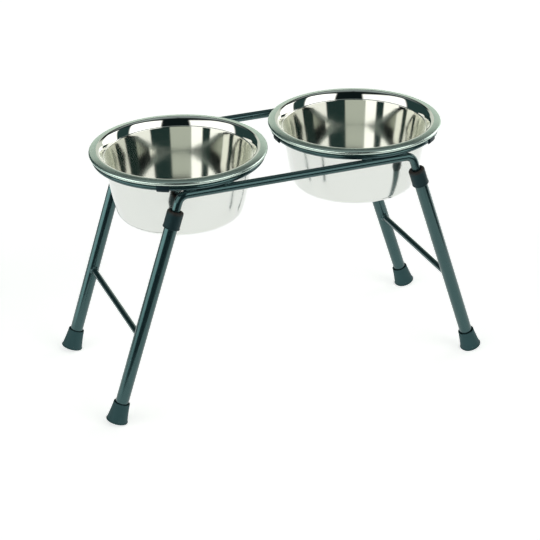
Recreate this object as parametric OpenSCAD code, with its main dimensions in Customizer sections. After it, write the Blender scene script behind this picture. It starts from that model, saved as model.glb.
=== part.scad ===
// Raised dog feeder: two lift-out steel bowls on a knock-down rod frame with push-on legs.
// Millimetres, +Z up, +X along the two bowls, -Y to the front.
// The origin is on the floor, under the middle of the stand.

/* [Bowls] */
// Diameter over the rolled rim of a bowl
rim_d = 210; // [160:1:260]
// Height of a bowl from its base to the top of its rim
bowl_h = 83; // [60:0.5:120]
// Gap between the rims of the two bowls
bowl_gap = 15.8; // [6:0.2:40]
// Thickness of the bowl's sheet steel
sheet_t = 0.8; // [0.5:0.1:1.5]
// Diameter of the curled bead at the edge of the rim
bead_d = 4.7; // [3.6:0.1:6.5]
// Radius where the rim turns down into the neck
throat_r = 3; // [2:0.1:5]
// Fall of the rim from the throat out to the bead, in degrees
rim_slope = 8; // [0:0.5:14]
// How far the rim's slope differs from that at its two edges, in degrees
crown_angle = 5; // [2:0.5:10]
// Slope of the neck from upright under the throat, in degrees
neck_top_lean = 24; // [22:1:36]
// Slope of the neck from upright above the ledge, in degrees
neck_foot_lean = 16; // [6:1:18]
// How far the ledge under the neck reaches below the tops of the rails
ledge_drop = 0.8; // [0:0.1:1.5]
// Radius inside the outer edge of the ledge under the neck
ledge_out_r = 0.5; // [0.2:0.1:3]
// Fall of the ledge towards the middle of the bowl, in degrees
ledge_slope = 30; // [0:1:40]
// Width of the flat of the ledge under the neck
ledge_flat = 0.2; // [0.1:0.1:3]
// Radius under the inner edge of the ledge, outside the sheet
ledge_under_r = 0.4; // [0.2:0.1:4]
// Slope of the straight part of the bowl's wall from upright, in degrees
wall_draft = 9.6; // [5:0.1:16]
// Share of the wall's height, down from the ledge, that is straight
wall_straight = 0.61; // [0.2:0.01:0.95]
// Radius in which the wall below its straight part turns in towards the base
wall_turn_r = 220; // [150:10:500]
// Radius inside the corner between wall and base
base_corner_r = 8.4; // [5:0.1:20]

/* [Rings and clips] */
// Diameter of the ring wire
ring_wire_d = 6; // [5:0.1:8]
// Wall of a bowl clip around the ring wire
clip_wall = 1.6; // [1:0.1:2.4]
// Length of a bowl clip along the ring
clip_len = 14; // [8:1:24]
// Width of the slot that lets a clip snap over the wire
clip_slot = 4; // [2:0.1:4.6]
// How far the middle of the bead lies outside the ring's centre line
seat_offset = 3.35; // [2:0.05:5]
// Gap, as seen from above, between a clip and the outside of the bowl's throat
throat_gap = 2.4; // [0.3:0.1:4]
// Direction of the first clip of the left ring, in degrees
left_clip_angle_1 = 1; // [-8:1:12]
// Direction of the second clip of the left ring, in degrees
left_clip_angle_2 = 121; // [114:1:135]
// Direction of the third clip of the left ring, in degrees
left_clip_angle_3 = 241; // [230:1:247]
// Direction of the first clip of the right ring, in degrees
right_clip_angle_1 = 64; // [45:1:66]
// Direction of the second clip of the right ring, in degrees
right_clip_angle_2 = 181; // [170:1:195]
// Direction of the third clip of the right ring, in degrees
right_clip_angle_3 = 310; // [296:1:325]

/* [Rails] */
// Height of the rail centre lines above the floor
rail_height = 277.1; // [220:0.1:360]
// Diameter of the rail rod
rail_d = 10; // [8:0.1:12]
// Bend radius of the rail centre line
rail_bend_r = 12; // [9:0.5:20]
// How far each rail lies inside the ring's centre line
rail_inset = 2.6; // [1.5:0.1:4]
// Straight rail between the outer ring weld and the start of the bend
bend_start_gap = 0.2; // [0:0.1:10]
// Straight rod that shows between the bend and the collar
rod_show = 10; // [4:0.2:30]
// How much the rod thins in its bends, per side
bend_thinning = 0.02; // [0.01:0.01:0.1]
// How far the ends of a bend run into the straight rod
bend_lap = 0.4; // [0.2:0.1:0.5]
// Depth of the socket that takes the end of the rod
socket_depth = 50; // [30:1:70]
// Chamfer at the end of the rod
rod_chamfer = 1; // [0.4:0.1:2]

/* [Legs] */
// Outward lean of the legs, in degrees
leg_tilt = 18; // [10:0.5:24]
// Wall of the leg tube
tube_wall = 1.3; // [0.8:0.1:2]
// Diameter of the crossbar rod between a front and a rear leg
crossbar_d = 7.5; // [5:0.1:10]
// Height of the crossbar centre lines above the floor
crossbar_height = 107; // [60:1:160]

/* [Collars] */
// Wall of the collar's insert between the rod and the leg tube
insert_wall = 1.45; // [0.9:0.05:2.5]
// Wall of the collar's skirt around the leg tube
skirt_wall = 1.85; // [1:0.05:3]
// Length of the collar's skirt
collar_len = 21; // [12:0.5:30]
// Thickness of the collar's top above the end of the tube
collar_top_t = 2.7; // [2.2:0.1:5]
// Thickness of the closed end under the socket
socket_end_t = 2.5; // [1.5:0.1:5]
// Rounding of the collar's top edge
collar_round = 1.8; // [0.6:0.1:2]
// Chamfer around the rod at the collar's mouth
mouth_chamfer = 1; // [0.4:0.1:1.4]

/* [Feet] */
// Length of a foot along the leg
foot_len = 24.4; // [18:0.2:36]
// Wall of the foot around the leg tube at its top
foot_wall = 1.9; // [1.4:0.1:4]
// How far the foot flares out from its top to its bottom, per side
foot_flare = 3.3; // [1:0.1:6]
// Thickness of the sole under the end of the tube
foot_sole = 5; // [3.6:0.1:9]
// Height of the lip at the bottom edge
foot_lip = 1.4; // [0.8:0.1:2.4]
// Rounding of the foot's edges
foot_round = 0.7; // [0.3:0.1:1]
// Width of the funnel around the tube at the top of the foot
foot_mouth = 1; // [0.3:0.1:1.2]
// Depth of the funnel around the tube at the top of the foot
foot_mouth_depth = 2.4; // [0.6:0.1:4]
// Depth of the flat that the foot stands on
foot_flat = 1.2; // [0.6:0.1:2.4]

/* [Welds] */
// Radius of the bead that joins a ring to a rail
ring_weld_r = 2.6; // [2:0.1:3]
// Spacing of the drops in a ring weld
ring_weld_step = 2.7; // [1.5:0.1:3.5]
// Width of the fillet that joins a crossbar to a leg
bar_weld = 2; // [1.2:0.1:2.4]
// Radius of the drops on a crossbar weld
bar_drop_r = 1.3; // [1:0.1:1.8]

/* [Fits] */
// Gap between pieces that are pushed together and stay together
fit_gap = 0.05; // [0.02:0.01:0.1]
// Running gap around a rod in its socket
spigot_gap = 0.05; // [0.02:0.01:0.1]
// Gap under the end of a rod in its socket
rod_seat_gap = 0.1; // [0.05:0.05:0.5]
// Gap between a seated bowl and its clips
bowl_seat_gap = 0.3; // [0.1:0.05:0.6]
// Gap between a weld and the metal that it joins
weld_gap = 0.02; // [0.01:0.01:0.05]

/* [Hidden] */
$fn = 64;

// Sides and ends as signs of X and Y
LEFT = -1;
RIGHT = 1;
FRONT = -1;
REAR = 1;
ENDS = [FRONT, REAR];

// Colours of the finishes
PAINT = [0.13, 0.18, 0.19];
PLASTIC = [0.16, 0.16, 0.16];
RUBBER = [0.18, 0.22, 0.23];
STEEL = [0.78, 0.80, 0.79];

// Radii of round stock
bead_r = bead_d / 2;
wire_r = ring_wire_d / 2;
rail_r = rail_d / 2;
bar_r = crossbar_d / 2;
clip_r = wire_r + fit_gap + clip_wall;
bore_r = rail_r + spigot_gap;
insert_r = bore_r + insert_wall;
tube_in_r = insert_r + fit_gap;
tube_r = tube_in_r + tube_wall;
skirt_in_r = tube_r + fit_gap;
collar_r = skirt_in_r + skirt_wall;
foot_in_r = tube_r + fit_gap;
foot_top_r = foot_in_r + foot_wall;
foot_lip_r = foot_top_r + foot_flare;

// Plan: the ring lies under the rim, the rails lie under the ring
rim_r = rim_d / 2;
bowl_x = (rim_d + bowl_gap) / 2;
ring_r = rim_r - bead_r - seat_offset;
rail_y = ring_r - rail_inset;
weld_x = sqrt(ring_r * ring_r - rail_y * rail_y);
bend_angle = 90 - leg_tilt;
bend_tangent = rail_bend_r * tan(bend_angle / 2);
corner_x = bowl_x + weld_x + bend_start_gap + bend_tangent;

// Heights
ring_z = rail_height + rail_r + wire_r;
weld_z = rail_height + rail_r;
seat_reach = clip_r + bead_r + bowl_seat_gap;
bead_z = ring_z + sqrt(seat_reach * seat_reach - seat_offset * seat_offset);

// Distances along a leg, down from the corner where rail and leg centre lines meet
collar_at = bend_tangent + rod_show;
tube_from = collar_at + collar_top_t;
socket_to = collar_at + socket_depth;
rod_to = socket_to - rod_seat_gap;
foot_disc_z = foot_lip_r * sin(leg_tilt) - foot_flat;
foot_to = (rail_height - foot_disc_z) / cos(leg_tilt);
foot_from = foot_to - foot_len;
tube_to = foot_to - foot_sole;
bar_at = (rail_height - crossbar_height) / cos(leg_tilt);
bar_x = corner_x + bar_at * sin(leg_tilt);

// Direction in the bowl's section at an angle from level
function toward(angle) = [cos(angle), sin(angle)];

// Rim of the bowl: a crowned strip between the bead and the throat.
// Points and centres of arcs in the section are [radius from the bowl's axis, height].
crown_in = 90 - rim_slope + crown_angle;
crown_out = 90 - rim_slope - crown_angle;
rim_w = sheet_t + throat_gap + clip_r + seat_offset + bead_r;
crown_w = rim_w - throat_r * (1 + cos(crown_in)) - bead_r * (1 - cos(crown_out));
crown_r = crown_w / (cos(crown_out) - cos(crown_in));
bead_c = [rim_r - bead_r, bead_z];
crown_c = bead_c - (crown_r - bead_r) * toward(crown_out);
throat_c = crown_c + (crown_r - throat_r) * toward(crown_in);
rim_top = crown_in > 90 ? crown_c[1] + crown_r : throat_c[1] + throat_r;

// Neck and ledge of the bowl
neck_from = throat_c + throat_r * toward(180 - neck_top_lean);
ledge_z = rail_height + rail_r - ledge_drop + sheet_t;
neck_to_z = ledge_z + ledge_out_r * (1 - sin(neck_foot_lean));
neck_r = (neck_from[1] - neck_to_z) / (sin(neck_top_lean) - sin(neck_foot_lean));
neck_c = neck_from - neck_r * toward(180 - neck_top_lean);
ledge_out_c = neck_c + (neck_r + ledge_out_r) * toward(180 - neck_foot_lean);
ledge_in_r = ledge_under_r + sheet_t;
ledge_in_c = ledge_out_c - (ledge_out_r + ledge_in_r) * toward(90 + ledge_slope)
    - ledge_flat * toward(ledge_slope);

// Base of the bowl, and its wall: straight under the ledge, then turning in to the base
base_z = rim_top - bowl_h + sheet_t;
corner_z = base_z + base_corner_r;
wall_top = ledge_in_c + ledge_in_r * toward(180 - wall_draft);
straight_h = (wall_top[1] - corner_z) * wall_straight;
turn_from = wall_top - straight_h * [tan(wall_draft), 1];
turn_c = turn_from - wall_turn_r * toward(-wall_draft);
corner_reach = wall_turn_r - base_corner_r;
foot_draft = asin((turn_c[1] - corner_z) / corner_reach);
corner_c = turn_c + corner_reach * toward(-foot_draft);
// Direction in which the curl of the bead ends
curl_end = -180;

// Points on an arc about a centre, from one direction to another
function arc(centre, radius, from, to, steps) = [
    for (i = [0:steps])
        let (angle = from + (to - from) * i / steps)
            centre + radius * toward(angle)
];

function reversed(list) = [for (i = [len(list) - 1:-1:0]) list[i]];

// Line of the bowl's sheet from the middle of its base to the end of its curl,
// on its inner face or set out from it by a thickness
function bowl_line(out) = concat(
    [[0, base_z - out]],
    arc(corner_c, base_corner_r + out, -90, -foot_draft, 10),
    arc(turn_c, wall_turn_r + out, -foot_draft, -wall_draft, 6),
    arc(ledge_in_c, ledge_in_r - out, 180 - wall_draft, 90 + ledge_slope, 6),
    arc(ledge_out_c, ledge_out_r + out, -90 + ledge_slope, -neck_foot_lean, 6),
    arc(neck_c, neck_r - out, 180 - neck_foot_lean, 180 - neck_top_lean, 6),
    arc(throat_c, throat_r - out, 180 - neck_top_lean, crown_in, 8),
    arc(crown_c, crown_r - out, crown_in, crown_out, 6),
    arc(bead_c, bead_r - out, crown_out, curl_end, 16)
);

// Places its children at a corner of the frame, with -Z down along the leg
module at_leg(side, end) {
    translate([side * corner_x, end * rail_y, rail_height])
        rotate([0, -side * leg_tilt, 0])
            children();
}

// Round bar on a leg's centre line between two distances from the corner
module along_leg(from, to, radius) {
    translate([0, 0, -to])
        cylinder(r = radius, h = to - from);
}

// Turns an outline of [radius, distance along the leg] about a leg's centre line
module turned_on_leg(side, end, outline) {
    at_leg(side, end)
        rotate_extrude()
            polygon([for (p = outline) [p[0], -p[1]]]);
}

// Drops of weld between one ring and one rail, grown by a gap for the pockets that they fill.
// Each run starts where the wire crosses the rail and goes on towards the middle of the stand.
module ring_weld(side, end, grow = 0) {
    drop_sizes = [0.9, 1, 0.94, 0.85];
    for (crossing = [weld_x, -weld_x], i = [0:len(drop_sizes) - 1]) {
        x = crossing - i * ring_weld_step;
        wire_y = sqrt(ring_r * ring_r - x * x);
        translate([side * (bowl_x + x), end * (rail_y + wire_y) / 2, weld_z])
            sphere(r = ring_weld_r * drop_sizes[i] + grow);
    }
}

// Round bar along the straight run of a rail, of a given half length
module along_rail(end, reach, radius) {
    translate([-reach, end * rail_y, rail_height])
        rotate([0, 90, 0])
            cylinder(r = radius, h = 2 * reach);
}

// Rod bent down at both ends into the spigots that enter the legs
module rail(end) {
    spigot = [
        [0, bend_tangent],
        [rail_r, bend_tangent],
        [rail_r, rod_to - rod_chamfer],
        [rail_r - rod_chamfer, rod_to],
        [0, rod_to]
    ];
    color(PAINT)
        union() {
            along_rail(end, corner_x - bend_tangent, rail_r);
            for (side = [LEFT, RIGHT]) {
                rail_bend(side, end);
                turned_on_leg(side, end, spigot);
            }
        }
}

// Bend between the rail and one spigot, lapped into the straight rod at both ends
module rail_bend(side, end) {
    lap_angle = bend_lap / rail_bend_r * 180 / PI;
    translate([side * (corner_x - bend_tangent), end * rail_y, rail_height - rail_bend_r])
        rotate([0, 0, side == LEFT ? 180 : 0])
            rotate([90, 0, 0])
                rotate([0, 0, leg_tilt - lap_angle])
                    rotate_extrude(angle = bend_angle + 2 * lap_angle)
                        translate([rail_bend_r, 0])
                            circle(r = rail_r - bend_thinning);
}

// Closed wire ring that carries a bowl
module ring(side) {
    color(PAINT)
        difference() {
            translate([side * bowl_x, 0, ring_z])
                rotate_extrude()
                    translate([ring_r, 0])
                        circle(r = wire_r);
            for (end = ENDS)
                ring_weld(side, end, weld_gap);
        }
}

// All the welds of one ring, bedded on the two rails
module ring_welds(side) {
    color(PAINT)
        for (end = ENDS)
            difference() {
                ring_weld(side, end);
                along_rail(end, corner_x, rail_r + weld_gap);
            }
}

// Slotted sleeve that snaps over the ring wire and keeps the bowl from rattling
module clip(side, direction) {
    sweep = clip_len / ring_r * 180 / PI;
    color(PLASTIC)
        translate([side * bowl_x, 0, ring_z])
            rotate([0, 0, direction - sweep / 2])
                rotate_extrude(angle = sweep)
                    translate([ring_r, 0])
                        difference() {
                            circle(r = clip_r);
                            circle(r = wire_r + fit_gap);
                            translate([-clip_slot / 2, -2 * clip_r])
                                square([clip_slot, 2 * clip_r]);
                        }
}

// Leg tube from the collar down to the sole of the foot
module leg(side, end) {
    color(PAINT)
        at_leg(side, end)
            difference() {
                along_leg(tube_from, tube_to, tube_r);
                along_leg(tube_from - tube_wall, tube_to + tube_wall, tube_in_r);
            }
}

// Moulded collar: a skirt outside the tube and a closed socket for the rod inside it
module collar(side, end) {
    skirt_to = collar_at + collar_len;
    insert_to = socket_to + socket_end_t;
    skirt_chamfer = skirt_wall / 3;
    outline = concat(
        [[bore_r, socket_to], [bore_r, collar_at + mouth_chamfer], [bore_r + mouth_chamfer, collar_at]],
        arc([collar_r - collar_round, collar_at + collar_round], collar_round, -90, 0, 6),
        [
            [collar_r, skirt_to - skirt_chamfer],
            [collar_r - skirt_chamfer, skirt_to],
            [skirt_in_r, skirt_to],
            [skirt_in_r, tube_from],
            [insert_r, tube_from],
            [insert_r, insert_to - insert_wall],
            [insert_r - insert_wall, insert_to],
            [0, insert_to],
            [0, socket_to]
        ]
    );
    color(PLASTIC)
        turned_on_leg(side, end, outline);
}

// Flared rubber foot with a lip at its bottom edge, cut flat where it meets the floor
module foot(side, end) {
    neck_of_lip = foot_lip_r - foot_round;
    outline = concat(
        [
            [0, tube_to],
            [foot_in_r, tube_to],
            [foot_in_r, foot_from + foot_mouth_depth],
            [foot_in_r + foot_mouth, foot_from]
        ],
        arc([foot_top_r - foot_round, foot_from + foot_round], foot_round, -90, 0, 5),
        [[neck_of_lip, foot_to - foot_lip - foot_round], [foot_lip_r, foot_to - foot_lip]],
        arc([foot_lip_r - foot_round, foot_to - foot_round], foot_round, 0, 90, 5),
        [[0, foot_to]]
    );
    floor_size = 4 * foot_lip_r;
    color(RUBBER)
        difference() {
            turned_on_leg(side, end, outline);
            translate([side * (corner_x + foot_to * sin(leg_tilt)), end * rail_y, -foot_lip_r])
                cube([floor_size, floor_size, 2 * foot_lip_r], center = true);
        }
}

// Rod between the front and rear legs of one end, shaped to the tubes
module crossbar(side) {
    color(PAINT)
        difference() {
            translate([side * bar_x, 0, crossbar_height])
                rotate([90, 0, 0])
                    cylinder(r = bar_r, h = 2 * rail_y, center = true);
            for (end = ENDS)
                tube_space(side, end);
        }
}

// Space that a leg tube takes up around the crossbar
module tube_space(side, end) {
    at_leg(side, end)
        along_leg(bar_at - 3 * tube_r, bar_at + 3 * tube_r, tube_r + weld_gap);
}

// Fillets with a ring of drops where one crossbar meets its two legs
module crossbar_welds(side) {
    color(PAINT)
        for (end = ENDS)
            difference() {
                at_leg(side, end)
                    translate([0, 0, -bar_at])
                        rotate([end * 90, 0, 0])
                            bar_fillet();
                tube_space(side, end);
                translate([side * bar_x, 0, crossbar_height])
                    rotate([90, 0, 0])
                        cylinder(r = bar_r + weld_gap, h = 2 * rail_y, center = true);
            }
}

// Fillet around the crossbar, with +Z along the bar, +Y along the leg and the leg's centre line at Z = 0
module bar_fillet() {
    drops = 7;
    first_drop_angle = 11;
    drop_ring_r = bar_r + bar_drop_r / 2;
    cone_r = bar_r + bar_weld;
    cone_from = sqrt(tube_r * tube_r - cone_r * cone_r);
    translate([0, 0, cone_from])
        cylinder(r1 = cone_r, r2 = bar_r, h = tube_r - cone_from + bar_weld);
    for (i = [0:drops - 1]) {
        angle = first_drop_angle + 360 * i / drops;
        x = drop_ring_r * cos(angle);
        y = drop_ring_r * sin(angle);
        translate([x, y, sqrt(tube_r * tube_r - x * x) + bar_drop_r / 4])
            sphere(r = bar_drop_r);
    }
}

// Pressed bowl with a neck, a ledge under it and a rolled rim
module bowl(side) {
    color(STEEL)
        translate([side * bowl_x, 0, 0])
            rotate_extrude()
                polygon(concat(bowl_line(0), reversed(bowl_line(sheet_t))));
}

rail(FRONT);  // front_rail
rail(REAR);  // rear_rail
ring(LEFT);  // left_ring
ring(RIGHT);  // right_ring
ring_welds(LEFT);  // left_ring_welds
ring_welds(RIGHT);  // right_ring_welds
clip(LEFT, left_clip_angle_1);  // left_clip_1
clip(LEFT, left_clip_angle_2);  // left_clip_2
clip(LEFT, left_clip_angle_3);  // left_clip_3
clip(RIGHT, right_clip_angle_1);  // right_clip_1
clip(RIGHT, right_clip_angle_2);  // right_clip_2
clip(RIGHT, right_clip_angle_3);  // right_clip_3
leg(LEFT, FRONT);  // left_front_leg
leg(LEFT, REAR);  // left_rear_leg
leg(RIGHT, FRONT);  // right_front_leg
leg(RIGHT, REAR);  // right_rear_leg
collar(LEFT, FRONT);  // left_front_collar
collar(LEFT, REAR);  // left_rear_collar
collar(RIGHT, FRONT);  // right_front_collar
collar(RIGHT, REAR);  // right_rear_collar
foot(LEFT, FRONT);  // left_front_foot
foot(LEFT, REAR);  // left_rear_foot
foot(RIGHT, FRONT);  // right_front_foot
foot(RIGHT, REAR);  // right_rear_foot
crossbar(LEFT);  // left_crossbar
crossbar(RIGHT);  // right_crossbar
crossbar_welds(LEFT);  // left_crossbar_welds
crossbar_welds(RIGHT);  // right_crossbar_welds
bowl(LEFT);  // left_bowl
bowl(RIGHT);  // right_bowl
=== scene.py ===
# %% [markdown]
# # A raised dog feeder
# Two steel bowls hang in wire rings on a painted rod frame with four push-on legs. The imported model
# gives every piece its place, so this lesson only dresses it: it adds the camera, the studio, the
# finishes, and finer forms where a mirror finish or a weld needs more than a plain solid.

# %% Load the frame
import math

import bmesh
import bpy
from mathutils import Matrix, Vector, noise


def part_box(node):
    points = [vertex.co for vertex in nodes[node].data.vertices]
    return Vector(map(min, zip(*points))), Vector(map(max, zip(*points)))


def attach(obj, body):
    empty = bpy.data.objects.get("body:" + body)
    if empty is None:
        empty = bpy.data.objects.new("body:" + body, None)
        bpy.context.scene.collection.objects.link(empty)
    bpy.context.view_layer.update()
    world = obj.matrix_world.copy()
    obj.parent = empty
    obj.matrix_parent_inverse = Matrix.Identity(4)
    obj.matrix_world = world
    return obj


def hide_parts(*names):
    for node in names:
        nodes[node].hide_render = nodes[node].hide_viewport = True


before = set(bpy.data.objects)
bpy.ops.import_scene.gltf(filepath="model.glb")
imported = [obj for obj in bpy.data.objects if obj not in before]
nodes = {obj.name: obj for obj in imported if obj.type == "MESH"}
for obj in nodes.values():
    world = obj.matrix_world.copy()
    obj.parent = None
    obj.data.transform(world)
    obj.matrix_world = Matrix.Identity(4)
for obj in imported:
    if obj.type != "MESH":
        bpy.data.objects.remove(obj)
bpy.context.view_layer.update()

scene = bpy.context.scene

# %% [markdown]
# ## The camera
# A product picture of this kind is taken from a little above, with a long lens, so the legs hardly
# converge. The camera could be placed by eye. Here its place and axes come from matching both rims, the
# rails and the legs, and the lens follows from the width of the picture.

# %% Camera
PICTURE_PX = 540
FOCAL_PX = 1720.457
camera_place = Vector((-0.692413, -1.776208, 1.071701))
camera_right = Vector((0.929314, -0.369091, -0.012151))
camera_up = Vector((0.176355, 0.414645, 0.892731))
camera_back = camera_right.cross(camera_up)

camera_data = bpy.data.cameras.new("photo_camera")
camera_data.sensor_width = 36.0
camera_data.lens = camera_data.sensor_width * FOCAL_PX / PICTURE_PX
camera = bpy.data.objects.new("photo_camera", camera_data)
axes = Matrix((camera_right, camera_up, camera_back)).transposed()
camera.matrix_world = Matrix.Translation(camera_place) @ axes.to_4x4()
scene.collection.objects.link(camera)
scene.camera = camera
scene.view_settings.view_transform = "Standard"
heading = math.degrees(math.atan2(-camera_back.x, -camera_back.y))
print("lens", round(camera_data.lens, 1), "mm, heading", round(heading, 1), "degrees")

# %% [markdown]
# ## The table
# The stand is shown on a white sheet that is lit until it is nearly pure white. A lamp strong enough for
# that would also burn out the steel, so the sheet glows a little by itself, as a light table does. It is
# only as large as such a table, because the glossy legs show where the white stops: their dark middles
# mirror the room past its front edge.

# %% Table
def plain_principled(name, color, roughness):
    """A new material with its Principled shader, for a finish that the caller goes on to refine."""
    material = bpy.data.materials.new(name)
    material.use_nodes = True
    shader = material.node_tree.nodes["Principled BSDF"]
    shader.inputs["Base Color"].default_value = (*color, 1.0)
    shader.inputs["Roughness"].default_value = roughness
    return material, shader


TABLE_SIDE = 0.75
TABLE_FRONT = 0.42
TABLE_BACK = 1.9
TABLE_GLOW = 0.62
table_mesh = bpy.data.meshes.new("table")
table_bm = bmesh.new()
corners = [(-TABLE_SIDE, -TABLE_FRONT), (TABLE_SIDE, -TABLE_FRONT),
           (TABLE_SIDE, TABLE_BACK), (-TABLE_SIDE, TABLE_BACK)]
table_bm.faces.new([table_bm.verts.new((x, y, 0.0)) for x, y in corners])
table_bm.to_mesh(table_mesh)
table_bm.free()
table = bpy.data.objects.new("table", table_mesh)
table.rotation_euler.z = -math.radians(heading)
scene.collection.objects.link(table)
table_white, table_shader = plain_principled("table_white", (0.86, 0.86, 0.85), 0.9)
table_shader.inputs["Emission Color"].default_value = (1.0, 1.0, 0.99, 1.0)
table_shader.inputs["Emission Strength"].default_value = TABLE_GLOW
table_mesh.materials.append(table_white)
print("table", 2 * TABLE_SIDE, "by", round(TABLE_FRONT + TABLE_BACK, 2), "m")

# %% [markdown]
# ## The studio light
# Polished steel shows the room around it, so the light is the look of the bowls. Lamps could do it, but
# the bowls would then show only lamps and blackness. A sky of soft panels gives both: each panel is a
# patch of the sky between two compass directions and two heights, measured from the way the camera
# faces.

# %% Sky helpers
world = bpy.data.worlds.new("studio")
scene.world = world
world.use_nodes = True
sky = world.node_tree
sky.nodes.clear()


def sky_node(kind, **settings):
    """A node of the studio's sky."""
    made = sky.nodes.new(kind)
    for key, value in settings.items():
        setattr(made, key, value)
    return made


def sky_math(operation, a, b=None, c=None):
    """One sum on sky values; numbers and sockets may both be given."""
    made = sky_node("ShaderNodeMath", operation=operation)
    for slot, value in enumerate((a, b, c)):
        if value is None:
            continue
        if isinstance(value, (int, float)):
            made.inputs[slot].default_value = value
        else:
            sky.links.new(value, made.inputs[slot])
    return made.outputs[0]


def sky_ramp(value, low, high, at_low, at_high):
    """A soft step between two directions."""
    made = sky_node("ShaderNodeMapRange", interpolation_type="SMOOTHSTEP")
    sky.links.new(value, made.inputs["Value"])
    made.inputs["From Min"].default_value = low
    made.inputs["From Max"].default_value = high
    made.inputs["To Min"].default_value = at_low
    made.inputs["To Max"].default_value = at_high
    return made.outputs["Result"]


print("empty sky:", world.name)

# %% [markdown]
# ### Directions in the sky
# The sky's own coordinates are the way a ray goes. Turned to the camera's heading and read as two
# angles, they say how far round the compass and how high up a ray ends: 0 is straight ahead, beyond the
# stand.

# %% Sky directions
view_way = sky_node("ShaderNodeTexCoord").outputs["Generated"]
turned = sky_node("ShaderNodeMapping", vector_type="VECTOR")
turned.inputs["Rotation"].default_value[2] = math.radians(heading)
sky.links.new(view_way, turned.inputs["Vector"])
split = sky_node("ShaderNodeSeparateXYZ")
sky.links.new(turned.outputs["Vector"], split.inputs["Vector"])
DEGREES = 180.0 / math.pi
compass = sky_math("MULTIPLY", sky_math("ARCTAN2", split.outputs["X"], split.outputs["Y"]), DEGREES)
height = sky_math("MULTIPLY", sky_math("ARCSINE", split.outputs["Z"]), DEGREES)
print("sky turned by", round(heading, 1), "degrees")

# %% [markdown]
# ### The panels
# The stripes inside the bowls give the studio away: a pale backdrop, a large soft light on the right,
# and bright walls behind the camera, with dark gaps between them. A low strip on the left draws the
# light line down the left legs, and the floor beyond the table keeps the steel from going black in other
# views. Each panel has its compass from and to, its height from and to, softness, brightness and tint.

# %% Panels
WARM = (0.94, 1.0, 0.89)
NEUTRAL = (1.0, 1.0, 0.98)
COOL = (0.86, 1.0, 0.99)
TEAL = (0.45, 1.0, 0.93)
PANELS = {
    "backdrop": (-26, 37, -12, 28, 5, 0.79, WARM),
    "right_softbox": (38, 73, -15, 34, 5, 2.1, NEUTRAL),
    "behind_right": (98, 151, 3, 45, 5, 2.0, NEUTRAL),
    "behind_left": (-163, -87, 0, 42, 5, 1.6, NEUTRAL),
    "low_left": (-136, -62, -5.5, 3, 3, 2.3, COOL),
    "left_gap": (-87, -26, -15, 40, 5, 0.045, TEAL),
    "right_gap": (73, 98, -15, 40, 5, 0.045, TEAL),
    "overhead": (-60, 60, 44, 75, 24, 0.30, COOL),
    "ceiling": (-180, 180, 62, 95, 20, 0.26, COOL),
    "far_floor": (-190, 190, -95, -25, 6, 0.50, NEUTRAL),
}
ROOM_DARK = (0.006, 0.011, 0.012)
print("studio panels:", ", ".join(PANELS))

# %% [markdown]
# ### The sum of the panels
# Each panel is a mask made of three soft steps, times its colour, and the sky is the sum of them over
# the dark of the room. The camera itself sees plain white behind the table.

# %% Sum of the panels
light_sum = None
for panel_from, panel_to, low, high, soft, strength, tint in PANELS.values():
    middle = (panel_from + panel_to) / 2
    half = (panel_to - panel_from) / 2
    away = sky_math("ABSOLUTE", sky_math("WRAP", sky_math("SUBTRACT", compass, middle), 180.0, -180.0))
    across = sky_ramp(away, half - soft / 2, half + soft / 2, 1.0, 0.0)
    above = sky_ramp(height, low - soft / 2, low + soft / 2, 0.0, 1.0)
    below = sky_ramp(height, high - soft / 2, high + soft / 2, 1.0, 0.0)
    mask = sky_math("MULTIPLY", sky_math("MULTIPLY", across, above), below)
    glow = sky_node("ShaderNodeVectorMath", operation="SCALE")
    glow.inputs[0].default_value = [channel * strength for channel in tint]
    sky.links.new(mask, glow.inputs["Scale"])
    added = sky_node("ShaderNodeVectorMath", operation="ADD")
    sky.links.new(glow.outputs["Vector"], added.inputs[0])
    if light_sum is None:
        added.inputs[1].default_value = ROOM_DARK
    else:
        sky.links.new(light_sum, added.inputs[1])
    light_sum = added.outputs["Vector"]

studio_light = sky_node("ShaderNodeBackground")
sky.links.new(light_sum, studio_light.inputs["Color"])
seen_white = sky_node("ShaderNodeBackground")
seen_white.inputs["Color"].default_value = (1.0, 1.0, 1.0, 1.0)
choice = sky_node("ShaderNodeMixShader")
sky.links.new(sky_node("ShaderNodeLightPath").outputs["Is Camera Ray"], choice.inputs["Fac"])
sky.links.new(studio_light.outputs[0], choice.inputs[1])
sky.links.new(seen_white.outputs[0], choice.inputs[2])
sky.links.new(choice.outputs[0], sky_node("ShaderNodeOutputWorld").inputs["Surface"])
print("sky nodes:", len(sky.nodes))

# %% [markdown]
# ## Shared surface effects
# Every finish here needs a little unevenness, and several need it in the same way. A node group is built
# once and placed in each material with its own sizes, so the finishes stay related and easy to change.

# %% Node group helpers
def new_group(name, inputs, outputs):
    """An empty shader node group with float inputs (name: default) and outputs (name: socket type)."""
    group = bpy.data.node_groups.new(name, "ShaderNodeTree")
    for title, default in inputs.items():
        socket = group.interface.new_socket(title, in_out="INPUT", socket_type="NodeSocketFloat")
        socket.default_value = default
    for title, kind in outputs.items():
        group.interface.new_socket(title, in_out="OUTPUT", socket_type=kind)
    start = group.nodes.new("NodeGroupInput")
    end = group.nodes.new("NodeGroupOutput")
    return group, start, end


def add_node(tree, kind, **settings):
    """A node with its properties set; names in inputs={} are socket values or links."""
    values = settings.pop("inputs", {})
    made = tree.nodes.new(kind)
    for key, value in settings.items():
        setattr(made, key, value)
    for key, value in values.items():
        if isinstance(value, bpy.types.NodeSocket):
            tree.links.new(value, made.inputs[key])
        else:
            made.inputs[key].default_value = value
    return made


print("groups so far:", len(bpy.data.node_groups))

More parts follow.
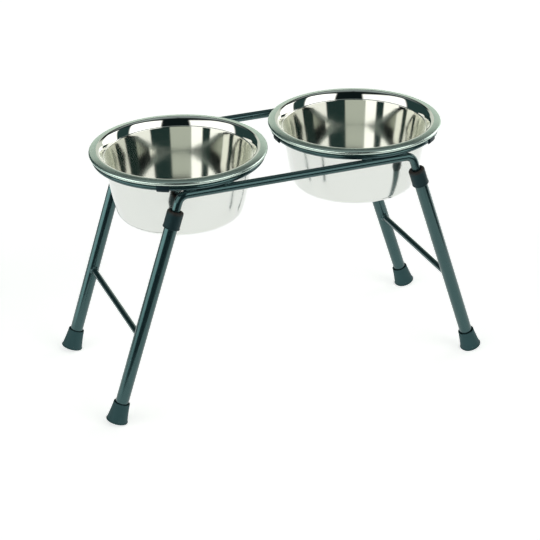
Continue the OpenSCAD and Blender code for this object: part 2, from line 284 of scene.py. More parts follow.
# %% [markdown]
# ### Uneven skin
# Paint, plastic and rubber are never perfectly even: a fine grain catches the light and a slow
# cloudiness changes the gloss. Two noises give both. The group puts out a height for a Bump node and a
# mask.

# %% Uneven skin group
skin_group, skin_in, skin_out = new_group(
    "uneven_skin",
    {"Grain Size": 900.0, "Cloud Size": 60.0},
    {"Height": "NodeSocketFloat", "Cloud": "NodeSocketFloat"},
)
skin_place = add_node(skin_group, "ShaderNodeTexCoord").outputs["Object"]
grain = add_node(skin_group, "ShaderNodeTexNoise", inputs={
    "Vector": skin_place, "Scale": skin_in.outputs["Grain Size"], "Detail": 2.0, "Roughness": 0.45})
cloud = add_node(skin_group, "ShaderNodeTexNoise", inputs={
    "Vector": skin_place, "Scale": skin_in.outputs["Cloud Size"], "Detail": 4.0, "Roughness": 0.55})
skin_group.links.new(grain.outputs["Fac"], skin_out.inputs["Height"])
skin_group.links.new(cloud.outputs["Fac"], skin_out.inputs["Cloud"])
print("group", skin_group.name, "has", len(skin_group.nodes), "nodes")

# %% [markdown]
# ### Dust specks
# A dark glossy surface always carries a few pale specks. A Voronoi pattern gives one dot to a cell, and
# a threshold keeps only a few of them.

# %% Dust group
dust_group, dust_in, dust_out = new_group(
    "dust_specks",
    {"Cell Size": 300.0, "Speck": 0.10, "Share": 0.06},
    {"Mask": "NodeSocketFloat"},
)
dust_place = add_node(dust_group, "ShaderNodeTexCoord").outputs["Object"]
cells = add_node(dust_group, "ShaderNodeTexVoronoi", inputs={
    "Vector": dust_place, "Scale": dust_in.outputs["Cell Size"]})
cell_pick = add_node(dust_group, "ShaderNodeSeparateColor", inputs={"Color": cells.outputs["Color"]})
chosen = add_node(dust_group, "ShaderNodeMath", operation="LESS_THAN", inputs={
    0: cell_pick.outputs["Red"], 1: dust_in.outputs["Share"]})
dot = add_node(dust_group, "ShaderNodeMath", operation="LESS_THAN", inputs={
    0: cells.outputs["Distance"], 1: dust_in.outputs["Speck"]})
speck = add_node(dust_group, "ShaderNodeMath", operation="MULTIPLY", inputs={
    0: chosen.outputs[0], 1: dot.outputs[0]})
dust_group.links.new(speck.outputs[0], dust_out.inputs["Mask"])
print("group", dust_group.name, "has", len(dust_group.nodes), "nodes")

# %% [markdown]
# ### Turning lines
# The bowls are pressed and then polished as they spin, which leaves fine lines around their axis. Noise
# over distance from the axis and height, with only a slow change around it, draws such lines. A slow
# smear goes with them, and each bowl has its own.

# %% Turning lines group
lines_group, lines_in, lines_out = new_group(
    "turning_lines",
    {"Line Size": 2500.0, "Cloud Size": 40.0},
    {"Height": "NodeSocketFloat", "Cloud": "NodeSocketFloat"},
)
lines_place = add_node(lines_group, "ShaderNodeTexCoord").outputs["Object"]
lines_split = add_node(lines_group, "ShaderNodeSeparateXYZ", inputs={"Vector": lines_place})
flat_place = add_node(lines_group, "ShaderNodeVectorMath", operation="MULTIPLY", inputs={
    0: lines_place, 1: (1.0, 1.0, 0.0)})
from_axis = add_node(lines_group, "ShaderNodeVectorMath", operation="LENGTH", inputs={
    0: flat_place.outputs[0]})
around = add_node(lines_group, "ShaderNodeMath", operation="ARCTAN2", inputs={
    0: lines_split.outputs["Y"], 1: lines_split.outputs["X"]})
ANGLE_WEIGHT = 0.0015
around_small = add_node(lines_group, "ShaderNodeMath", operation="MULTIPLY", inputs={
    0: around.outputs[0], 1: ANGLE_WEIGHT})
line_place = add_node(lines_group, "ShaderNodeCombineXYZ", inputs={
    "X": from_axis.outputs["Value"], "Y": lines_split.outputs["Z"], "Z": around_small.outputs[0]})
lines = add_node(lines_group, "ShaderNodeTexNoise", inputs={
    "Vector": line_place.outputs[0], "Scale": lines_in.outputs["Line Size"], "Detail": 3.0})
own_number = add_node(lines_group, "ShaderNodeObjectInfo").outputs["Random"]
smear = add_node(lines_group, "ShaderNodeTexNoise", noise_dimensions="4D", inputs={
    "Vector": lines_place, "W": own_number, "Scale": lines_in.outputs["Cloud Size"], "Detail": 3.0})
lines_group.links.new(lines.outputs["Fac"], lines_out.inputs["Height"])
lines_group.links.new(smear.outputs["Fac"], lines_out.inputs["Cloud"])
print("group", lines_group.name, "has", len(lines_group.nodes), "nodes")

# %% [markdown]
# ## Finishes
# A finish is a Principled shader with the groups above plugged into its colour, roughness and normal. A
# few small helpers do the plugging, so that each finish below is only a list of its own values.

# %% Finish helpers
NOISE_LOW = 0.3
NOISE_HIGH = 0.7


def place_group(tree, group, **values):
    """A node group in a material, with its input values."""
    made = tree.nodes.new("ShaderNodeGroup")
    made.node_tree = group
    for title, value in values.items():
        made.inputs[title.replace("_", " ")].default_value = value
    return made


def two_tone(tree, mask, dark, light):
    """A colour that goes from dark to light with a mask."""
    mix = add_node(tree, "ShaderNodeMix", data_type="RGBA")
    tree.links.new(mask, mix.inputs["Factor"])
    mix.inputs["A"].default_value = (*dark, 1.0)
    mix.inputs["B"].default_value = (*light, 1.0)
    return mix.outputs["Result"]


def value_range(tree, mask, low, high):
    """A number that goes from low to high over the middle values of a noise."""
    made = add_node(tree, "ShaderNodeMapRange", inputs={"Value": mask})
    made.inputs["From Min"].default_value = NOISE_LOW
    made.inputs["From Max"].default_value = NOISE_HIGH
    made.inputs["To Min"].default_value = low
    made.inputs["To Max"].default_value = high
    return made.outputs["Result"]


def bump(tree, shader, height, strength, distance):
    """Feeds a height to a shader's normal."""
    made = add_node(tree, "ShaderNodeBump", inputs={
        "Strength": strength, "Distance": distance, "Height": height})
    tree.links.new(made.outputs["Normal"], shader.inputs["Normal"])


print("groups to place:", ", ".join(group.name for group in bpy.data.node_groups))

# %% [markdown]
# ### Coated and moulded finishes
# Enamel, plastic and rubber are alike in kind: a dark colour that varies slowly, a gloss that varies
# with it, a fine grain and a few specks. One function makes them all, and the values set them apart.

# %% Coated finish
SPECK_CELLS = 420.0
SPECK_SIZE = 0.16
PEEL_STRENGTH = 0.25


def coated_finish(name, dark, light, gloss, grain_size, cloud_size, peel, speck_tint, speck_share):
    """A coloured, uneven finish with specks: enamel, plastic and rubber differ only in these values."""
    material, shader = plain_principled(name, dark, gloss[0])
    tree = material.node_tree
    skin = place_group(tree, skin_group, Grain_Size=grain_size, Cloud_Size=cloud_size)
    dust = place_group(tree, dust_group, Cell_Size=SPECK_CELLS, Speck=SPECK_SIZE, Share=speck_share)
    tone = two_tone(tree, skin.outputs["Cloud"], dark, light)
    specked = add_node(tree, "ShaderNodeMix", data_type="RGBA")
    tree.links.new(dust.outputs["Mask"], specked.inputs["Factor"])
    tree.links.new(tone, specked.inputs["A"])
    specked.inputs["B"].default_value = (*speck_tint, 1.0)
    tree.links.new(specked.outputs["Result"], shader.inputs["Base Color"])
    tree.links.new(value_range(tree, skin.outputs["Cloud"], *gloss), shader.inputs["Roughness"])
    bump(tree, shader, skin.outputs["Height"], PEEL_STRENGTH, peel)
    return material, shader


print("specks in cells of", round(1000 / SPECK_CELLS, 1), "mm")

# %% [markdown]
# ## Frame enamel
# The rods, wires and tubes carry one dark enamel with a soft gloss and a blue-green cast. It is nearly
# black in the body and bright where it mirrors the lights, so it needs a dark colour, a smooth face, a
# faint orange peel and a few specks. The cast is strongest in what it mirrors, so the gloss is tinted as
# well.

# %% Frame enamel
frame_enamel, enamel_shader = coated_finish(
    "frame_enamel", dark=(0.008, 0.020, 0.022), light=(0.011, 0.026, 0.029), gloss=(0.11, 0.17),
    grain_size=700.0, cloud_size=55.0, peel=0.00004, speck_tint=(0.10, 0.12, 0.12), speck_share=0.012)
ENAMEL_GLOSS = (0.56, 1.0, 0.99, 1.0)
ENAMEL_SHEEN = 1.0
enamel_shader.inputs["Specular Tint"].default_value = ENAMEL_GLOSS
enamel_shader.inputs["Specular IOR Level"].default_value = ENAMEL_SHEEN
ENAMELLED = [name for name in nodes if name.endswith(("_rail", "_ring", "_leg", "_crossbar"))]


def finish_node(name, material):
    """Gives a carried-over solid one finish."""
    solid = nodes[name].data
    solid.materials.clear()
    solid.materials.append(material)


for name in ENAMELLED:
    finish_node(name, frame_enamel)
print("enamelled nodes:", len(ENAMELLED))

# %% [markdown]
# ## Weld beads
# The rings are welded to the rails, and the crossbars to the legs, by short rows of molten drops that
# the paint has flowed over. Drops laid side by side look like beads on a string, so each row is melted
# into one lump: its solid is remeshed in small cells, relaxed, swelled again by what that took off, and
# pushed in and out a little.

# %% Weld beads
WELD_CELL = 0.0004
WELD_RELAX = 4
WELD_SOFTNESS = 0.5
WELD_SWELL = 0.0003
WELD_UNEVEN = 0.00018
WELD_WAVES = 700.0


def melted(name, solid):
    """One lump made from a row of drops."""
    draft = bpy.data.objects.new(name + "_draft", solid.data.copy())
    scene.collection.objects.link(draft)
    cells = draft.modifiers.new("cells", "REMESH")
    cells.mode = "VOXEL"
    cells.voxel_size = WELD_CELL
    relax = draft.modifiers.new("relax", "SMOOTH")
    relax.factor = WELD_SOFTNESS
    relax.iterations = WELD_RELAX
    whole = draft.evaluated_get(bpy.context.evaluated_depsgraph_get())
    mesh = bpy.data.meshes.new_from_object(whole)
    mesh.name = name
    bpy.data.objects.remove(draft)
    for vertex in mesh.vertices:
        wave = noise.noise(vertex.co * WELD_WAVES)
        vertex.co += vertex.normal * (WELD_SWELL + WELD_UNEVEN * wave)
    for face in mesh.polygons:
        face.use_smooth = True
    mesh.materials.clear()
    mesh.materials.append(frame_enamel)
    return mesh


WELD_BODIES = {"left_ring_welds": "top_frame", "right_ring_welds": "top_frame",
               "left_crossbar_welds": "left_leg_frame", "right_crossbar_welds": "right_leg_frame"}
for name, body in WELD_BODIES.items():
    bead = bpy.data.objects.new(name + "_melted", melted(name + "_melted", nodes[name]))
    scene.collection.objects.link(bead)
    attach(bead, body)
    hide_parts(name)
    print(bead.name, len(bead.data.polygons), "faces")

# %% [markdown]
# ## Plastic and rubber
# The collars and bowl clips are moulded plastic, a little duller than the paint. The feet are rubber:
# duller still and greyer. All three keep the blue-green cast in their sheen.

# %% Plastic and rubber
TEAL_GLOSS = (0.50, 0.95, 1.0, 1.0)
DULL_SHEEN = 0.25
collar_plastic, collar_shader = coated_finish(
    "collar_plastic", dark=(0.008, 0.020, 0.023), light=(0.014, 0.031, 0.035), gloss=(0.40, 0.54),
    grain_size=2200.0, cloud_size=90.0, peel=0.00005, speck_tint=(0.09, 0.08, 0.07), speck_share=0.03)
clip_plastic, clip_shader = coated_finish(
    "clip_plastic", dark=(0.006, 0.013, 0.019), light=(0.010, 0.020, 0.028), gloss=(0.34, 0.48),
    grain_size=2200.0, cloud_size=90.0, peel=0.00005, speck_tint=(0.09, 0.09, 0.09), speck_share=0.02)
foot_rubber, foot_shader = coated_finish(
    "foot_rubber", dark=(0.020, 0.050, 0.053), light=(0.032, 0.068, 0.071), gloss=(0.56, 0.72),
    grain_size=1600.0, cloud_size=70.0, peel=0.00008, speck_tint=(0.10, 0.12, 0.12), speck_share=0.03)
for shader in (collar_shader, clip_shader, foot_shader):
    shader.inputs["Specular Tint"].default_value = TEAL_GLOSS
    shader.inputs["Specular IOR Level"].default_value = DULL_SHEEN
print("finishes:", collar_plastic.name, clip_plastic.name, foot_rubber.name)

# %% [markdown]
# ### Turned pieces
# Collars, feet and bowls are all round, so each is drawn as half a section and spun. A Screw modifier
# could spin it too, but a short loop gives exact control over the poles and over the finish of each
# stretch.

# %% Section helpers
MM = 0.001


def way(angle):
    """The unit step in a direction of the section, in degrees."""
    return Vector((math.cos(math.radians(angle)), math.sin(math.radians(angle))))


def arc(centre, radius, start, end, steps):
    """Points on an arc of the section."""
    return [centre + radius * way(start + (end - start) * i / steps) for i in range(steps + 1)]


def straight(start, end, steps):
    """Points inside a straight stretch, without its ends."""
    return [start.lerp(end, i / steps) for i in range(1, steps)]


def turned_mesh(name, line, kinds, around):
    """A closed skin turned about Z from a section line that starts and ends on the axis."""
    bm = bmesh.new()
    first = bm.verts.new((0.0, 0.0, line[0].y * MM))
    last = bm.verts.new((0.0, 0.0, line[-1].y * MM))
    rings = []
    for point in line[1:-1]:
        radius, level = point.x * MM, point.y * MM
        ring = []
        for k in range(around):
            angle = 2 * math.pi * k / around
            ring.append(bm.verts.new((radius * math.cos(angle), radius * math.sin(angle), level)))
        rings.append(ring)
    for k in range(around):
        nxt = (k + 1) % around
        bm.faces.new((first, rings[0][k], rings[0][nxt])).material_index = kinds[0]
        bm.faces.new((last, rings[-1][nxt], rings[-1][k])).material_index = kinds[-1]
        for row in range(len(rings) - 1):
            face = bm.faces.new((rings[row][k], rings[row + 1][k], rings[row + 1][nxt], rings[row][nxt]))
            face.material_index = kinds[row + 1]
    return skin_of(name, bm)


SHARP_TURN = math.radians(35)


def skin_of(name, bm):
    """A smooth mesh from a draft, creased only at its sharp turns."""
    for face in bm.faces:
        face.smooth = True
    bmesh.ops.recalc_face_normals(bm, faces=bm.faces)
    mesh = bpy.data.meshes.new(name)
    bm.to_mesh(mesh)
    bm.free()
    mesh.set_sharp_from_angle(angle=SHARP_TURN)
    return mesh


print("creases from", round(math.degrees(SHARP_TURN)), "degrees")

# %% [markdown]
# ### Places on a leg
# Everything on a leg is measured down the leg from the corner where the rail would meet it, so one
# matrix for each leg puts the turned pieces in place.

# %% Leg places
CORNER_X = 144.393
RAIL_Y = 96.7
RAIL_Z = 277.1
LEG_TILT = math.radians(18)
SIDES = {"left": -1, "right": 1}
ENDS = {"front": -1, "rear": 1}


def leg_place(side, end):
    """The place of a leg's corner, with Z up along the leg."""
    corner = Vector((SIDES[side] * CORNER_X, ENDS[end] * RAIL_Y, RAIL_Z)) * MM
    return Matrix.Translation(corner) @ Matrix.Rotation(-SIDES[side] * LEG_TILT, 4, "Y")


def on_each_leg(kind, node_kind, make):
    """One piece on each leg, riding with its leg frame in place of a solid."""
    for side in SIDES:
        for end in ENDS:
            name = f"{side}_{end}_{kind}"
            place = leg_place(side, end)
            piece = bpy.data.objects.new(name, make(name, place))
            piece.matrix_world = place
            scene.collection.objects.link(piece)
            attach(piece, side + "_leg_frame")
            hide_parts(f"{side}_{end}_{node_kind}")
    print("four pieces of", kind)


print("leg corners at", CORNER_X, "by", RAIL_Y, "mm, and", RAIL_Z, "mm up")

# %% [markdown]
# ### Collars
# A collar is a moulded cap over the leg's open end: a rounded shoulder, a countersunk mouth for the rod,
# a plain skirt with a fine lip at its foot, and a long socket that goes down inside the tube.

# %% Collars
BORE_R = 5.05
INSERT_R = 6.5
COLLAR_R = 9.75
COLLAR_TOP = 18.719
COLLAR_CAP = 2.7
COLLAR_FOOT = 39.719
COLLAR_SHOULDER = 2.3
SKIRT_IN_R = 7.9
SOCKET_FOOT = 68.719
SOCKET_END = 2.5
MOUTH_R = 6.3
MOUTH_EDGE = 0.5
MOUTH_DEPTH = 2.0
COLLAR_LIP = 0.7
COLLAR_LIP_OUT = 0.4
LIP_START = 64
TURN_STEPS = 96
EDGE_STEPS = 6
ROUND_STEPS = 12
SKIRT_STEPS = 8


def collar_line():
    """The collar's section from the floor of its socket round to the underside of the socket."""
    bore_top = Vector((BORE_R, -COLLAR_TOP - MOUTH_DEPTH))
    mouth_c = Vector((MOUTH_R + MOUTH_EDGE, -COLLAR_TOP - MOUTH_EDGE))
    mouth = arc(mouth_c, MOUTH_EDGE, 180, 90, EDGE_STEPS)
    shoulder_c = Vector((COLLAR_R - COLLAR_SHOULDER, -COLLAR_TOP - COLLAR_SHOULDER))
    shoulder = arc(shoulder_c, COLLAR_SHOULDER, 90, 0, ROUND_STEPS)
    lip_c = Vector((COLLAR_R + COLLAR_LIP_OUT - COLLAR_LIP, -COLLAR_FOOT + COLLAR_LIP))
    lip = arc(lip_c, COLLAR_LIP, LIP_START, -90, ROUND_STEPS)
    under_cap = -COLLAR_TOP - COLLAR_CAP
    socket_under = -SOCKET_FOOT - SOCKET_END
    return ([Vector((0.0, -SOCKET_FOOT)), Vector((BORE_R, -SOCKET_FOOT)), bore_top] + mouth + shoulder
            + straight(shoulder[-1], lip[0], SKIRT_STEPS) + lip
            + [Vector((SKIRT_IN_R, -COLLAR_FOOT)), Vector((SKIRT_IN_R, under_cap)),
               Vector((INSERT_R, under_cap)), Vector((INSERT_R, socket_under)),
               Vector((0.0, socket_under))])


def moulded_collar(name, place):
    """One collar, with its plastic."""
    line = collar_line()
    mesh = turned_mesh(name, line, [0] * len(line), TURN_STEPS)
    mesh.materials.append(collar_plastic)
    return mesh


on_each_leg("moulded_collar", "collar", moulded_collar)

# %% [markdown]
# ### Painted highlight on the collars
# The top of each collar is painted warm brown towards its mouth, a painted highlight of warm light. A
# mask over height, in the collar's own coordinates, fades the brown in over the last few millimetres.

# %% Painted collar highlight
# Painted highlight: the warm brown stands in for warm light caught on the top of each collar.
WARM_HIGHLIGHT_BROWN = (0.040, 0.027, 0.022)
HIGHLIGHT_DEPTH = 4.5
collar_tree = collar_plastic.node_tree
collar_base = collar_shader.inputs["Base Color"]
highlight_level = add_node(collar_tree, "ShaderNodeSeparateXYZ", inputs={
    "Vector": add_node(collar_tree, "ShaderNodeTexCoord").outputs["Object"]}).outputs["Z"]
highlight_share = add_node(collar_tree, "ShaderNodeMapRange", inputs={
    "Value": highlight_level, "From Min": -(COLLAR_TOP + HIGHLIGHT_DEPTH) * MM, "From Max": -COLLAR_TOP * MM})
highlight_mix = add_node(collar_tree, "ShaderNodeMix", data_type="RGBA")
collar_tree.links.new(highlight_share.outputs["Result"], highlight_mix.inputs["Factor"])
collar_tree.links.new(collar_base.links[0].from_socket, highlight_mix.inputs["A"])
highlight_mix.inputs["B"].default_value = (*WARM_HIGHLIGHT_BROWN, 1.0)
collar_tree.links.new(highlight_mix.outputs["Result"], collar_base)
print("brown over the top", HIGHLIGHT_DEPTH, "mm of each collar")

# %% [markdown]
# ### Feet
# A foot is a rubber cup pushed over the leg: a countersunk mouth, a bell that widens towards the floor,
# and a thin lip. The legs lean, so the bottom edge is worn flat where it stands on the table.

# %% Feet
FOOT_TOP = 263.965
FOOT_FLOOR = 283.365
FOOT_FOOT = 288.365
FOOT_IN_R = 7.9
FOOT_TOP_R = 9.8
FOOT_LIP_R = 13.1
FOOT_LIP = 1.4
FOOT_LIP_STEP = 0.7
FOOT_MOUTH_DEPTH = 2.4
FOOT_EDGE = 0.45
BELL_POWER = 1.35
BELL_STEPS = 14
FOOT_RIM_STEPS = 8


def foot_line():
    """The foot's section from its inside floor over the mouth and down to its sole."""
    mouth = [Vector((FOOT_IN_R, -FOOT_TOP - FOOT_MOUTH_DEPTH))]
    rim = arc(Vector((FOOT_TOP_R - FOOT_EDGE, -FOOT_TOP - FOOT_EDGE)), FOOT_EDGE, 135, 0, FOOT_RIM_STEPS)
    bell_foot = FOOT_FOOT - FOOT_LIP - FOOT_LIP_STEP
    bell = []
    for i in range(1, BELL_STEPS + 1):
        share = i / BELL_STEPS
        radius = FOOT_TOP_R + (FOOT_LIP_R - FOOT_LIP_STEP - FOOT_TOP_R) * share ** BELL_POWER
        bell.append(Vector((radius, -FOOT_TOP - FOOT_EDGE - (bell_foot - FOOT_TOP - FOOT_EDGE) * share)))
    lip_top_c = Vector((FOOT_LIP_R - FOOT_EDGE, -FOOT_FOOT + FOOT_LIP - FOOT_EDGE))
    lip_top = arc(lip_top_c, FOOT_EDGE, 90, 0, EDGE_STEPS)
    lip_foot_c = Vector((FOOT_LIP_R - FOOT_EDGE, -FOOT_FOOT + FOOT_EDGE))
    lip_foot = arc(lip_foot_c, FOOT_EDGE, 0, -90, EDGE_STEPS)
    return ([Vector((0.0, -FOOT_FLOOR)), Vector((FOOT_IN_R, -FOOT_FLOOR))] + mouth + rim + bell
            + lip_top + lip_foot + [Vector((0.0, -FOOT_FOOT))])


def rubber_foot(name, place):
    """One foot, cut level with the floor."""
    line = foot_line()
    mesh = turned_mesh(name, line, [0] * len(line), TURN_STEPS)
    bm = bmesh.new()
    bm.from_mesh(mesh)
    floor_place = place.inverted() @ Vector((0.0, 0.0, 0.0))
    floor_way = place.inverted().to_3x3() @ Vector((0.0, 0.0, -1.0))
    bmesh.ops.bisect_plane(bm, geom=bm.verts[:] + bm.edges[:] + bm.faces[:], plane_co=floor_place,
                           plane_no=floor_way, clear_outer=True)
    bmesh.ops.holes_fill(bm, edges=[edge for edge in bm.edges if edge.is_boundary])
    mesh = skin_of(name, bm)
    mesh.materials.append(foot_rubber)
    return mesh


on_each_leg("rubber_foot", "foot", rubber_foot)

# %% [markdown]
# ### Clips
# Three split sleeves on each ring keep the bowl's bead off the wire. Each is a short length of tube,
# open below and bent to the ring. It is swept along the ring here, and drawn in at its ends so that they
# are round.

# %% Clips
RING_R = 99.3
RING_Z = 285.1
CLIP_OUT_R = 4.65
CLIP_IN_R = 3.05
CLIP_HALF = 7.0
CLIP_SLOT = 4.0
CLIP_ENDS = ((0.0, 0.55), (0.18, 0.24), (0.5, 0.06), (0.9, 0.0))
CLIP_STEPS = 28
CLIP_ANGLES = {"left": (1, 121, 241), "right": (64, 181, 310)}


def clip_stations():
    """Places along the clip and how far its outside is drawn in there."""
    start = [(-CLIP_HALF + step, drawn) for step, drawn in CLIP_ENDS]
    middle = [(CLIP_HALF * i / 4, 0.0) for i in range(-2, 3)]
    end = [(-place, drawn) for place, drawn in reversed(start)]
    return start + middle + end


def slot_angles(radius):
    """Directions around the sleeve at one radius, from one lip of its slot to the other."""
    lip = math.degrees(math.asin(CLIP_SLOT / 2 / radius))
    return [-90 + lip + (360 - 2 * lip) * i / CLIP_STEPS for i in range(CLIP_STEPS + 1)]


def split_sleeve(name, middle_angle):
    """One sleeve, swept along its ring around Z."""
    bm = bmesh.new()
    rows = []
    for place, drawn in clip_stations():
        angle = math.radians(middle_angle) + place / RING_R
        row = []
        for radius in (CLIP_OUT_R - drawn, CLIP_IN_R):
            side = []
            for turn in slot_angles(radius):
                step = way(turn) * radius
                reach, level = (RING_R + step.x) * MM, (RING_Z + step.y) * MM
                side.append(bm.verts.new((reach * math.cos(angle), reach * math.sin(angle), level)))
            row.append(side)
        rows.append(row[0] + row[1][::-1])
    count = len(rows[0])
    for before, after in zip(rows, rows[1:]):
        for k in range(count):
            nxt = (k + 1) % count
            bm.faces.new((before[k], before[nxt], after[nxt], after[k]))
    for row in (rows[0], rows[-1]):
        for k in range(CLIP_STEPS):
            bm.faces.new((row[k], row[k + 1], row[count - 2 - k], row[count - 1 - k]))
    mesh = skin_of(name, bm)
    mesh.materials.append(clip_plastic)
    return mesh


ring_low, ring_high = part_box("right_ring")
RING_X = (ring_low.x + ring_high.x) / 2
for side, sign in SIDES.items():
    for number, angle in enumerate(CLIP_ANGLES[side], start=1):
        name = f"{side}_sleeve_{number}"
        sleeve = bpy.data.objects.new(name, split_sleeve(name, angle))
        sleeve.location.x = sign * RING_X
        scene.collection.objects.link(sleeve)
        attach(sleeve, "top_frame")
        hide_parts(f"{side}_clip_{number}")
print("sleeves:", sum(len(angles) for angles in CLIP_ANGLES.values()))

# %% [markdown]
# ## The bowls
# Each bowl is one pressed sheet: a flat base, a drafted wall, a ledge, a short neck and a rim that ends
# in a rolled bead. A mirror shows every facet, so the sheet is turned again here with many more steps.
# The section is the solid's, with the throat, neck and ledge set to where the stripes in the steel put
# them.

# %% Bowl section
SHEET = 0.8
bowl_low, bowl_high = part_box("left_bowl")
BOWL_X = (bowl_high.x + bowl_low.x) / 2 / MM
BASE_Z = bowl_low.z / MM + SHEET
RIM_R = 105.0
BEAD_Z = 291.586
RIM_W = 13.55
BEAD_R = 2.35
THROAT_R = 5.0
RIM_SLOPE = 8.0
CROWN = 5.0
NECK_TOP = 36.0
NECK_FOOT = 22.0
LEDGE_Z = 285.0
LEDGE_R = 0.5
LEDGE_SLOPE = 30.0
LEDGE_FLAT = 0.2
UNDER_R = 1.2
DRAFT = 9.6
STRAIGHT_SHARE = 0.63
TURN_R = 220.0
CORNER_R = 8.4

RIM_IN = 90 - RIM_SLOPE + CROWN
RIM_OUT = 90 - RIM_SLOPE - CROWN
CROWN_W = RIM_W - THROAT_R * (1 + way(RIM_IN).x) - BEAD_R * (1 - way(RIM_OUT).x)
CROWN_R = CROWN_W / (way(RIM_OUT).x - way(RIM_IN).x)
BEAD = Vector((RIM_R - BEAD_R, BEAD_Z))
CROWN_C = BEAD - (CROWN_R - BEAD_R) * way(RIM_OUT)
THROAT = CROWN_C + (CROWN_R - THROAT_R) * way(RIM_IN)
NECK_TOP_P = THROAT + THROAT_R * way(180 - NECK_TOP)
NECK_FOOT_Z = LEDGE_Z + LEDGE_R * (1 - way(NECK_FOOT).y)
NECK_BOW_R = (NECK_TOP_P.y - NECK_FOOT_Z) / (way(NECK_TOP).y - way(NECK_FOOT).y)
NECK_C = NECK_TOP_P - NECK_BOW_R * way(180 - NECK_TOP)
LEDGE_C = NECK_C + (NECK_BOW_R + LEDGE_R) * way(180 - NECK_FOOT)
UNDER_C = LEDGE_C - (LEDGE_R + UNDER_R) * way(90 + LEDGE_SLOPE) - LEDGE_FLAT * way(LEDGE_SLOPE)
WALL_TOP = UNDER_C + UNDER_R * way(180 - DRAFT)
CORNER_Z = BASE_Z + CORNER_R
STRAIGHT_H = (WALL_TOP.y - CORNER_Z) * STRAIGHT_SHARE
TURN_FROM = WALL_TOP - STRAIGHT_H * Vector((math.tan(math.radians(DRAFT)), 1.0))
TURN_C = TURN_FROM - TURN_R * way(-DRAFT)
CORNER_REACH = TURN_R - CORNER_R
FOOT_DRAFT = math.degrees(math.asin((TURN_C.y - CORNER_Z) / CORNER_REACH))
CORNER = TURN_C + CORNER_REACH * way(-FOOT_DRAFT)
print("throat height", round(THROAT.y, 2), "ledge", round(LEDGE_C.x, 2))
print("base radius", round(CORNER.x, 2))

# %% [markdown]
# ### The sheet's line
# The inner and outer faces of the sheet are the same chain of arcs and straights, a sheet's thickness
# apart, so one function draws either. The stretches are cut finely where they curve and coarsely where
# they are flat.

# %% Sheet line
STEPS = {"base": 8, "corner": 22, "turn": 16, "wall": 10, "under": 14, "ledge": 10, "neck": 16,
         "throat": 16, "crown": 10, "bead": 26}
RIM_FROM = 12


def sheet_line(out):
    """The sheet's section from its middle to the end of its curl, set out from the inner face."""
    base = straight(Vector((0.0, BASE_Z - out)), Vector((CORNER.x, BASE_Z - out)), STEPS["base"])
    corner = arc(CORNER, CORNER_R + out, -90, -FOOT_DRAFT, STEPS["corner"])
    turn = arc(TURN_C, TURN_R + out, -FOOT_DRAFT, -DRAFT, STEPS["turn"])[1:]
    under = arc(UNDER_C, UNDER_R - out, 180 - DRAFT, 90 + LEDGE_SLOPE, STEPS["under"])
    ledge = arc(LEDGE_C, LEDGE_R + out, -90 + LEDGE_SLOPE, -NECK_FOOT, STEPS["ledge"])
    neck = arc(NECK_C, NECK_BOW_R - out, 180 - NECK_FOOT, 180 - NECK_TOP, STEPS["neck"])[1:]
    throat = arc(THROAT, THROAT_R - out, 180 - NECK_TOP, RIM_IN, STEPS["throat"])[1:]
    crown = arc(CROWN_C, CROWN_R - out, RIM_IN, RIM_OUT, STEPS["crown"])[1:]
    bead = arc(BEAD, BEAD_R - out, RIM_OUT, -180, STEPS["bead"])[1:]
    wall = straight(turn[-1], under[0], STEPS["wall"])
    cup = base + corner + turn + wall + under + ledge + neck + throat[:RIM_FROM]
    return cup, throat[RIM_FROM:] + crown, bead


inside, rim, bead = sheet_line(0.0)
print("bowl section points:", len(inside), len(rim), len(bead))

# %% [markdown]
# ### The whole section
# The section is spun about the bowl's axis. The faces keep count of which stretch they came from, so the
# polished inside, the brushed rim and the satin outside can each have a finish of their own.

# %% Whole bowl section
BOWL_STEPS = 224
POLISHED, BRUSHED, SATIN = 0, 1, 2
POLISH_OVER = 2


def bowl_line():
    """The whole closed section and the finish of each stretch."""
    in_wall, in_rim, in_bead = sheet_line(0.0)
    out_wall, out_rim, out_bead = sheet_line(SHEET)
    top = [Vector((0.0, BASE_Z))] + in_wall + in_rim + in_bead
    under = out_bead[::-1] + out_rim[::-1] + out_wall[::-1] + [Vector((0.0, BASE_Z - SHEET))]
    polished = [POLISHED] * (1 + len(in_wall) + POLISH_OVER)
    brushed = [BRUSHED] * (len(in_rim) + len(in_bead) - POLISH_OVER)
    return top + under, polished + brushed + [SATIN] * len(under)


line, kinds = bowl_line()
print("closed section points:", len(line))

# %% [markdown]
# ### Bowl steel
# One steel, three finishes. The inside is polished until it mirrors, the rim is brushed around, and the
# outside is satin. They share the turning lines, and differ in how deep those are and how rough the face
# is. The polish is hazier towards the base, which the mop reaches less well. Inside a bowl, light goes
# from wall to wall many times, while a renderer follows only a few mirrorings and then gives black. Past
# that count, the steel takes the even tone of the lit bowl instead, so the far edges stay bright.

# %% Bowl steel
DEEP_BOUNCE = 3.5
PAINTED_DEEP_REFLECTION = (0.66, 0.69, 0.64)
BLACK = (0.0, 0.0, 0.0)
LINE_SIZE = 2600.0
SMEAR_SIZE = 35.0
LINE_SHADE = 0.94
LINE_STRENGTH = 0.2


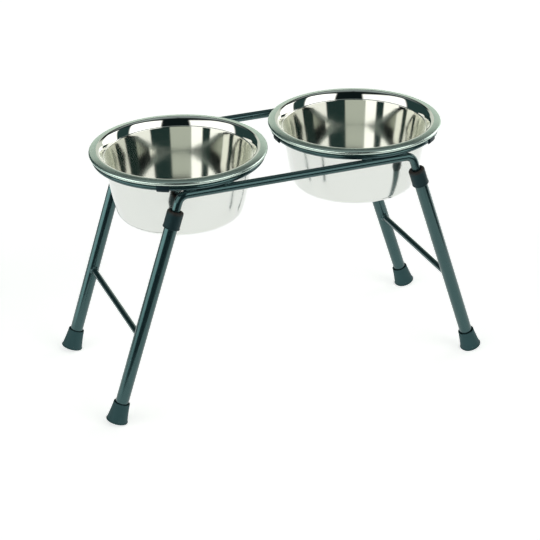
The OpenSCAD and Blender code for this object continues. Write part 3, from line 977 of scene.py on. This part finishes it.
def bowl_finish(name, tint, gloss, depth, anisotropic=0.0, haze=0.0):
    """Steel with turning lines; anisotropic stretches its highlights, haze dulls it towards the base."""
    material, shader = plain_principled(name, tint, gloss[0])
    tree = material.node_tree
    shader.inputs["Metallic"].default_value = 1.0
    turning = place_group(tree, lines_group, Line_Size=LINE_SIZE, Cloud_Size=SMEAR_SIZE)
    darker = tuple(channel * LINE_SHADE for channel in tint)
    tree.links.new(two_tone(tree, turning.outputs["Height"], darker, tint), shader.inputs["Base Color"])
    rough = value_range(tree, turning.outputs["Cloud"], *gloss)
    if haze:
        place = add_node(tree, "ShaderNodeTexCoord").outputs["Object"]
        level = add_node(tree, "ShaderNodeSeparateXYZ", inputs={"Vector": place}).outputs["Z"]
        dulled = add_node(tree, "ShaderNodeMapRange", inputs={
            "Value": level, "From Min": BASE_Z * MM, "From Max": WALL_TOP.y * MM,
            "To Min": haze, "To Max": 0.0})
        rough = add_node(tree, "ShaderNodeMath", operation="ADD", inputs={
            0: rough, 1: dulled.outputs["Result"]}).outputs[0]
    tree.links.new(rough, shader.inputs["Roughness"])
    bump(tree, shader, turning.outputs["Height"], LINE_STRENGTH, depth)
    # Painted reflection: past a few mirrorings the steel glows in the tone of the lit bowl instead of
    # going black.
    bounces = add_node(tree, "ShaderNodeLightPath").outputs["Glossy Depth"]
    deep = add_node(tree, "ShaderNodeMath", operation="GREATER_THAN", inputs={0: bounces, 1: DEEP_BOUNCE})
    tree.links.new(two_tone(tree, deep.outputs[0], BLACK, PAINTED_DEEP_REFLECTION), shader.inputs["Emission Color"])
    shader.inputs["Emission Strength"].default_value = 1.0
    if anisotropic:
        shader.inputs["Anisotropic"].default_value = anisotropic
        tangent = add_node(tree, "ShaderNodeTangent", direction_type="RADIAL", axis="Z")
        tree.links.new(tangent.outputs["Tangent"], shader.inputs["Tangent"])
    return material


polished_steel = bowl_finish(
    "polished_steel", tint=(0.74, 0.745, 0.70), gloss=(0.03, 0.06), depth=0.000002, haze=0.06)
brushed_steel = bowl_finish(
    "brushed_steel", tint=(0.62, 0.74, 0.67), gloss=(0.22, 0.30), depth=0.00001, anisotropic=0.2)
satin_steel = bowl_finish(
    "satin_steel", tint=(0.75, 0.765, 0.735), gloss=(0.10, 0.16), depth=0.000004)
print("steels:", polished_steel.name, brushed_steel.name, satin_steel.name)

# %% [markdown]
# ### Two bowls
# Both bowls are the same pressing, so one section makes the two. Each takes the place of its plain solid
# and rides on its own body, because a bowl lifts out of its ring.

# %% Two bowls
for side, sign in (("left", 1), ("right", -1)):
    mesh = turned_mesh(side + "_steel_bowl", line, kinds, BOWL_STEPS)
    for material in (polished_steel, brushed_steel, satin_steel):
        mesh.materials.append(material)
    piece = bpy.data.objects.new(side + "_steel_bowl", mesh)
    piece.location.x = sign * BOWL_X * MM
    scene.collection.objects.link(piece)
    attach(piece, side + "_bowl")
    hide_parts(side + "_bowl")
    print(piece.name, len(mesh.polygons), "faces")

# %% [markdown]
# ## The last update
# The scene is updated once more, so that every piece has its final place.

# %% Last update
bpy.context.view_layer.update()
